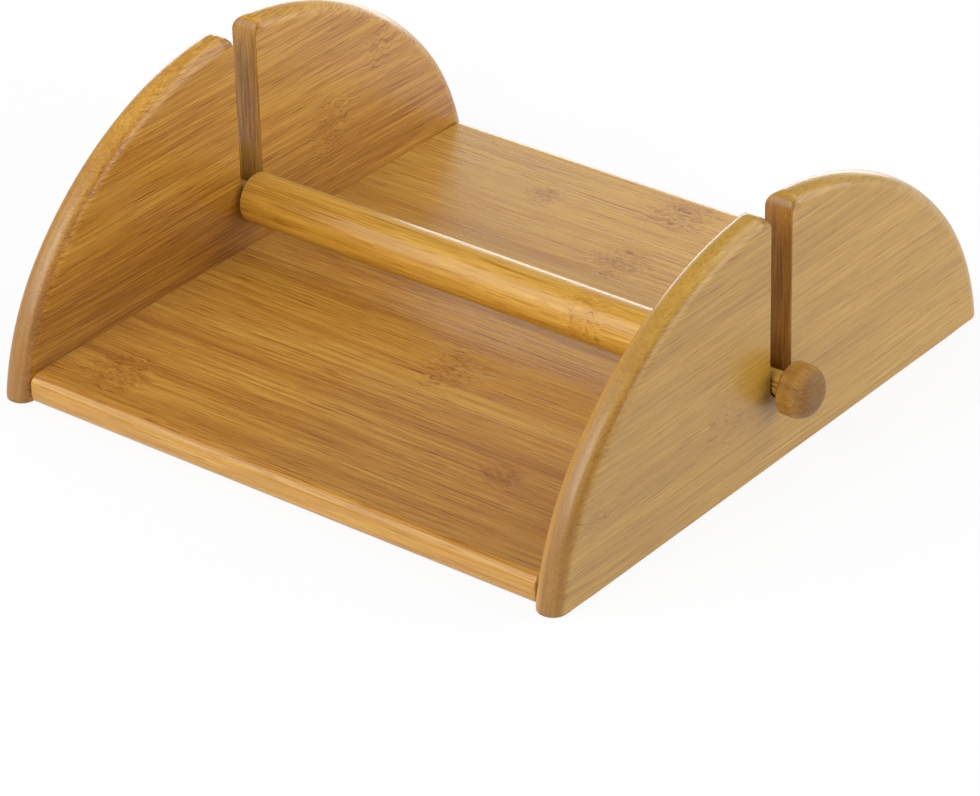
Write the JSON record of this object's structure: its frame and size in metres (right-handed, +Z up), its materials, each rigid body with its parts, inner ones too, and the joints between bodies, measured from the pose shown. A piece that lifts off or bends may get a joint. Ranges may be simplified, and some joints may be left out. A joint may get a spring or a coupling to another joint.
{
  "type": "napkin holder",
  "caption": "Flat bamboo napkin holder: a base plate between half-moon walls, with a turned press bar that slides up and down in slots in the walls and lies on the napkins.",
  "frame": {"origin": "middle of the footprint, on the table", "axes": "+X along the press bar, +Y from the front edge of the base plate to the back, +Z up"},
  "size_m": [0.208, 0.189, 0.0738],
  "materials": {
    "base_bamboo": "satin lacquer",
    "wall_bamboo": "satin lacquer",
    "bar_bamboo": "satin lacquer",
    "dowel_wood": "bare"
  },
  "bodies": {
    "holder": {"base_plate": "base_bamboo", "left_wall": "wall_bamboo", "right_wall": "wall_bamboo", "left_dowel_front": "dowel_wood", "left_dowel_middle": "dowel_wood", "left_dowel_rear": "dowel_wood", "right_dowel_front": "dowel_wood", "right_dowel_middle": "dowel_wood", "right_dowel_rear": "dowel_wood"},
    "bar": {"press_bar": "bar_bamboo"}
  },
  "joints": [
    {"name": "bar_lift", "type": "slide", "parent": "holder", "child": "bar", "axis": [0, 0, 1], "range_m": [0, 0.06]}
  ]
}
